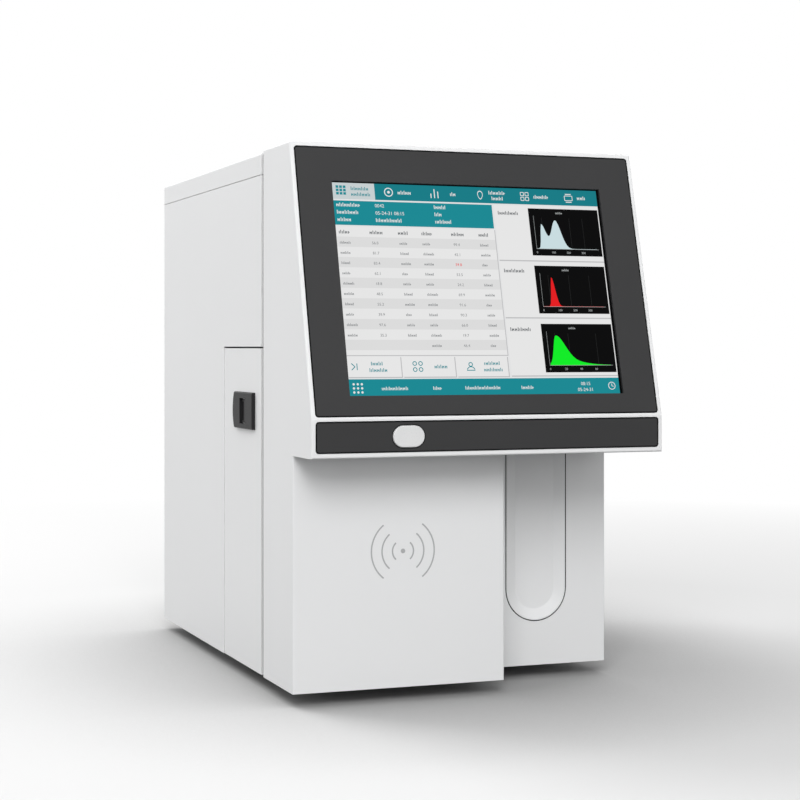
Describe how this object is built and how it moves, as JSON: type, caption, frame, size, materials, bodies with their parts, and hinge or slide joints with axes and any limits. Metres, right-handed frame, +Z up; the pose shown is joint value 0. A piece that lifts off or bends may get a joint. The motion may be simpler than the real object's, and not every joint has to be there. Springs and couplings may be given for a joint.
{
  "type": "veterinary blood analyzer",
  "caption": "Desktop blood analyzer for veterinary use, with a tilted touch display over an open sampling bay, a side service door and a metal body.",
  "frame": {"origin": "under the middle of the whole instrument, on the plane of the feet's soles", "axes": "+X to the right seen from the front, +Y from the display towards the rear, +Z up"},
  "size_m": [0.2722, 0.4496, 0.4003],
  "materials": {
    "shell_white": "satin",
    "panel_white": "satin",
    "bead_grey": "matte",
    "graphite": "matte",
    "black": "matte",
    "glass": "polished",
    "screen": "polished",
    "button_grey": "satin",
    "rubber": "matte",
    "steel": "brushed",
    "zinc": "satin",
    "aluminium": "anodised",
    "board_green": "satin",
    "motor_black": "satin",
    "brass": "satin",
    "clear": "polished",
    "valve_white": "matte",
    "tube_clear": "satin"
  },
  "bodies": {
    "housing": {"front_shell": "shell_white", "mid_frame": "bead_grey", "top_cover": "panel_white", "left_side_panel": "panel_white", "right_side_panel": "panel_white", "rear_panel": "panel_white", "base_plate": "zinc", "rubber_feet": "rubber", "case_screws": "steel", "display_bezel": "graphite", "touch_panel": "glass", "lcd_panel": "screen", "lcd_bracket": "zinc", "display_board": "board_green", "front_band": "graphite", "button_board": "board_green", "probe_trough": "shell_white", "card_reader_board": "board_green", "door_hinge_brackets": "steel", "fan_frame": "black", "fan_grille": "steel", "mains_inlet": "black", "io_connectors": "steel", "fluid_fittings": "brass", "power_supply": "zinc", "main_board": "board_green", "service_bulkhead": "zinc", "valve_manifold": "clear", "solenoid_valves": "valve_white", "syringe_frame": "aluminium", "syringe_barrels": "clear", "syringe_motor": "motor_black", "peristaltic_pump": "valve_white", "diaphragm_pumps": "motor_black", "vacuum_chamber": "clear", "sampling_frame": "zinc", "y_guide_rods": "steel", "y_motor": "motor_black", "bath_block": "clear", "fluid_tubing": "tube_clear"},
    "side_door": {"side_door": "panel_white", "latch_escutcheon": "graphite"},
    "latch_button": {"latch_button": "black"},
    "latch_tongue": {"latch_tongue": "steel"},
    "start_button": {"start_button": "button_grey"},
    "rocker_switch": {"rocker_switch": "black"},
    "fan_rotor": {"fan_rotor": "black"},
    "y_carriage": {"y_carriage": "aluminium", "z_guide_rods": "steel", "z_motor": "motor_black", "probe_wipe": "clear"},
    "y_screw": {"y_screw": "steel"},
    "z_screw": {"z_screw": "steel"},
    "z_carriage": {"z_carriage": "aluminium", "sample_probe": "steel"},
    "syringe_drive": {"syringe_drive": "aluminium"},
    "syringe_screw": {"syringe_screw": "steel"},
    "pump_rotor": {"pump_rotor": "valve_white"}
  },
  "joints": [
    {"name": "side_door_hinge", "type": "hinge", "parent": "housing", "child": "side_door", "pos_m": [-0.1285, -0.0026, 0.132], "axis": [0, 0, -1], "range_deg": [0, 95]},
    {"name": "latch_press", "type": "slide", "parent": "side_door", "child": "latch_button", "axis": [1, 0, 0], "range_m": [0, 0.003], "stiffness_N_per_m": 400},
    {"name": "latch_draw", "type": "slide", "parent": "side_door", "child": "latch_tongue", "axis": [0, 1, 0], "range_m": [0, 0.003]},
    {"name": "start_press", "type": "slide", "parent": "housing", "child": "start_button", "axis": [0, 1, 0], "range_m": [0, 0.0015], "stiffness_N_per_m": 600},
    {"name": "rocker_tilt", "type": "hinge", "parent": "housing", "child": "rocker_switch", "pos_m": [0.084, 0.209, 0.0845], "axis": [-1, 0, 0], "range_deg": [0, 16]},
    {"name": "fan_spin", "type": "hinge", "parent": "housing", "child": "fan_rotor", "pos_m": [-0.06, 0.2005, 0.31], "axis": [0, 1, 0], "continuous": true},
    {"name": "carriage_slide", "type": "slide", "parent": "housing", "child": "y_carriage", "axis": [0, 1, 0], "range_m": [0, 0.148]},
    {"name": "carriage_screw", "type": "hinge", "parent": "housing", "child": "y_screw", "pos_m": [0.054, -0.1697, 0.261], "axis": [0, 1, 0], "range_deg": [0, 4500]},
    {"name": "probe_slide", "type": "slide", "parent": "y_carriage", "child": "z_carriage", "axis": [0, 0, -1], "range_m": [0, 0.065]},
    {"name": "probe_screw", "type": "hinge", "parent": "y_carriage", "child": "z_screw", "pos_m": [0.073, -0.1187, 0.2], "axis": [0, 0, 1], "range_deg": [0, 3000]},
    {"name": "syringe_slide", "type": "slide", "parent": "housing", "child": "syringe_drive", "axis": [0, 0, -1], "range_m": [0, 0.042]},
    {"name": "syringe_turn", "type": "hinge", "parent": "housing", "child": "syringe_screw", "pos_m": [-0.098, -0.0629, 0.11], "axis": [0, 0, 1], "range_deg": [0, 3100]},
    {"name": "pump_spin", "type": "hinge", "parent": "housing", "child": "pump_rotor", "pos_m": [-0.09, -0.0127, 0.132], "axis": [1, 0, 0], "continuous": true}
  ],
  "couplings": [
    {"joint": "latch_draw", "follows": "latch_press", "ratio": 1},
    {"joint": "carriage_screw", "follows": "carriage_slide", "rad_per_m": 523.6},
    {"joint": "probe_screw", "follows": "probe_slide", "rad_per_m": 785.4},
    {"joint": "syringe_turn", "follows": "syringe_slide", "rad_per_m": 1256.6}
  ]
}
